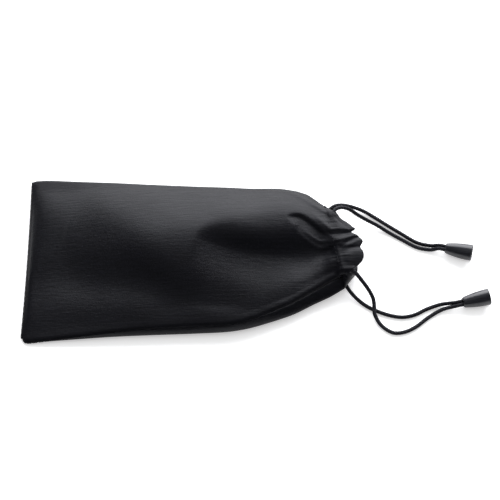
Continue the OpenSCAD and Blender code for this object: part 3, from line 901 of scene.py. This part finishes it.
def make_side_seams(cloth, thread):
    stations = np.linspace(BOTTOM_X, HEM_STITCH_X, 260)
    for which, v in EDGES:
        edge = np.column_stack(front_surface(stations, np.full(len(stations), v)))
        welt = edge + np.array([0.0, -v * 0.15, -0.1])
        welt_piece(f"{which}_side_welt", welt, 0.42, cloth, f"{which}_side_seam")
        row = edge + np.array([0.0, v * 0.12, -0.55])
        thread_piece(f"{which}_seam_thread", stitches_along(row), thread,
                     f"{which}_seam_stitching")


def make_bottom_seam(cloth, thread):
    across = rolled(160)
    line = np.column_stack(front_surface(np.full(160, BOTTOM_X), across))
    line[:, 0] -= END_ROLL
    line[:, 2] = END_HEIGHT
    welt_piece("bottom_welt", line, 0.40, cloth, "bottom_seam")
    row = line + np.array([-0.25, 0.0, 0.3])
    thread_piece("bottom_seam_thread", stitches_along(row), thread, "bottom_seam_stitching")


def make_hem_stitching(thread):
    """The stitches of both hems, with a small thread end on the front one."""
    stations = np.full(300, HEM_STITCH_X)
    hem = np.column_stack(front_surface(stations, np.linspace(-0.94, 0.94, 300)))
    lines = stitches_along(hem, 0.18)
    end_x, end_y = THREAD_END
    end_at = np.array([end_x, end_y, hem[np.argmin(np.abs(hem[:, 1] - end_y)), 2]])
    turn = np.linspace(0, 5 * math.pi, 40)
    lines.append(end_at + np.column_stack([
        0.45 * np.sin(turn), 0.28 * np.cos(turn) + 0.05 * turn,
        0.25 + 0.1 * np.sin(turn * 0.7)]))
    thread_piece("front_hem_thread", lines, thread, "front_hem_stitching")
    hem = np.column_stack(back_section(stations, np.linspace(-0.66, 0.66, 300)))
    row = hem + np.array([0.0, 0.0, -0.15])
    thread_piece("back_hem_thread", stitches_along(row, 0.1), thread, "back_hem_stitching")


def make_slit_tacks(thread):
    """Short bars of thread at the ends of the side seams."""
    for which, v in EDGES:
        corner = front_surface(np.array([STITCH_X - 0.9]), np.array([v]))
        top = np.array([float(c[0]) for c in corner])
        bars = []
        for step in (-0.5, -0.17, 0.17, 0.5):
            at = top + np.array([step, v * 0.25, 0.0])
            bars.append([at + np.array([0, -v * 0.9, 0.35]), at + np.array([0, 0.0, 0.1]),
                         at + np.array([0, 0.05 * v, -0.4]), at + np.array([0, -v * 0.2, -1.0])])
        thread_piece(f"{which}_slit_thread", [along(bar, 12) for bar in bars], thread,
                     f"{which}_slit_tack")


def finish_cloth(name, rows, material, nodes, top):
    points = np.vstack(rows)
    faces = grid_faces(len(rows), COLUMNS)
    if top:
        faces = [tuple(reversed(face)) for face in faces]
    piece = make_piece(name, points, faces, "pouch", material)
    thick = piece.modifiers.new("thickness", "SOLIDIFY")
    thick.thickness = CLOTH_T * MM
    thick.offset = -1.0
    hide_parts(*nodes)


# ---------------------------------------------------------------- floor and light
def make_floor():
    bpy.ops.mesh.primitive_plane_add(size=8.0)
    floor = bpy.context.object
    floor.name = "floor"
    # The floor glows evenly, and an ambient-occlusion ramp darkens its glow where the pouch is
    # near: a painted contact shadow.
    material, tree, shader = new_material(
        "floor_paper_painted_shadow", Roughness=0.9, Specular_IOR_Level=0.1, Emission_Strength=0.85)
    shader.inputs["Base Color"].default_value = (0.93, 0.93, 0.93, 1.0)
    painted_contact_shadow_ao = tree.nodes.new("ShaderNodeAmbientOcclusion")
    painted_contact_shadow_ao.inputs["Distance"].default_value = 0.022
    tree.links.new(
        ramp(tree, painted_contact_shadow_ao.outputs["AO"],
             [(0.1, (0.42, 0.41, 0.41, 1)), (0.95, (1, 1, 1, 1))]),
        shader.inputs["Emission Color"])
    floor.data.materials.append(material)


def area_light(name, place, aim, size, power, colour=(1.0, 1.0, 1.0)):
    data = bpy.data.lights.new(name, "AREA")
    data.shape = "RECTANGLE"
    data.size, data.size_y = size
    data.energy = power
    data.color = colour
    lamp = bpy.data.objects.new(name, data)
    lamp.location = place
    lamp.rotation_euler = (Vector(place) - Vector(aim)).to_track_quat("Z", "Y").to_euler()
    bpy.context.scene.collection.objects.link(lamp)


def make_lights():
    world = bpy.data.worlds.new("studio")
    world.use_nodes = True
    world.node_tree.nodes["Background"].inputs["Color"].default_value = (0.9, 0.95, 1.0, 1.0)
    world.node_tree.nodes["Background"].inputs["Strength"].default_value = 0.10
    bpy.context.scene.world = world
    area_light("back_softbox", (0.28, 1.15, 0.70), (0.03, 0.0, 0.0), (1.6, 1.35), 46.0,
               (0.96, 0.97, 1.0))
    area_light("top_fill", (-0.25, -0.2, 1.6), (0.03, 0.0, 0.0), (0.8, 0.8), 1.0)


# ---------------------------------------------------------------- the whole object
make_camera()
satin = cloth_material("satin_cloth_black", 0.0035, 0.007, 0.15)
cord_black = cord_material()
thread_black = thread_material()
bell_black = plastic_material("bell_plastic_black", 0.013, 0.27, 0.38)
plug_black = plastic_material("plug_plastic_black", 0.010, 0.35, 0.5)
bells = {which: make_bell(which, bell_black) for which in BELLS}
make_cords(cord_black)
make_front(satin)
make_back(satin)
make_side_seams(satin, thread_black)
make_bottom_seam(satin, thread_black)
make_hem_stitching(thread_black)
make_slit_tacks(thread_black)
make_floor()
make_lights()
for name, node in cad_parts.items():
    if "knot" in name:
        finish = cord_black
    elif "plug" in name:
        finish = plug_black
    else:
        continue
    for material_slot in node.material_slots:
        material_slot.material = finish
bpy.context.scene.view_settings.view_transform = "Standard"
